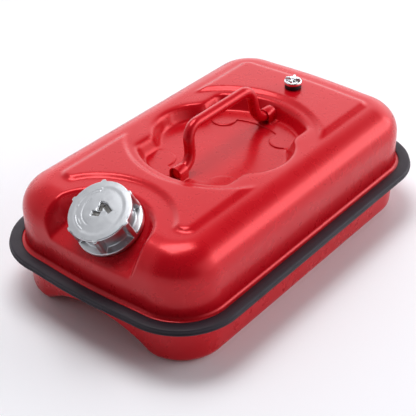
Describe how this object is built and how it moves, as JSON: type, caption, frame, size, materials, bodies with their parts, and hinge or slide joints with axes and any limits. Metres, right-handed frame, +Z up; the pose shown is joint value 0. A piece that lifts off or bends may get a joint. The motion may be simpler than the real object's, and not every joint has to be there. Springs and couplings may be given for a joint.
{
  "type": "gas can",
  "caption": "Flat horizontal steel gas can with a flanged rubber-edged seam, a folding bail handle in a round dish, a slanted lugged screw cap and a vent screw.",
  "frame": {"origin": "middle of the base, on the floor the can stands on", "axes": "+Z up, -Y towards the cap end, X across the short side"},
  "size_m": [0.216, 0.339, 0.1258],
  "materials": {
    "red_paint": "satin",
    "edging": "satin",
    "seal": "matt",
    "cast_zinc": "polished",
    "brass": "plain"
  },
  "bodies": {
    "can": {"upper_shell": "red_paint", "lower_shell": "red_paint", "rim_edging": "edging", "filler_neck": "red_paint", "front_saddle": "red_paint", "rear_saddle": "red_paint", "vent_bush": "brass"},
    "handle": {"carry_handle": "red_paint"},
    "cap_seal": {"cap_gasket": "seal"},
    "cap": {"filler_cap": "cast_zinc"},
    "vent_seal": {"vent_washer": "seal"},
    "vent": {"vent_screw": "cast_zinc"}
  },
  "joints": [
    {"name": "handle_fold", "type": "hinge", "parent": "can", "child": "handle", "pos_m": [0, 0.0085, 0.091], "axis": [0, 1, 0], "range_deg": [-75, 93]},
    {"name": "cap_lift", "type": "slide", "parent": "can", "child": "cap_seal", "axis": [0, -0.4848, 0.8746], "range_m": [0, 0.0081]},
    {"name": "cap_turn", "type": "hinge", "parent": "cap_seal", "child": "cap", "pos_m": [0, -0.128, 0.0837], "axis": [0, -0.4848, 0.8746], "range_deg": [0, 720]},
    {"name": "vent_lift", "type": "slide", "parent": "can", "child": "vent_seal", "axis": [0, 0, 1], "range_m": [0, 0.004]},
    {"name": "vent_turn", "type": "hinge", "parent": "vent_seal", "child": "vent", "pos_m": [0, 0.104, 0.104], "axis": [0, 0, 1], "range_deg": [0, 1444]}
  ],
  "couplings": [
    {"joint": "cap_lift", "follows": "cap_turn", "m_per_rad": 0.00063662},
    {"joint": "vent_turn", "follows": "vent_lift", "rad_per_m": 6283.2}
  ]
}
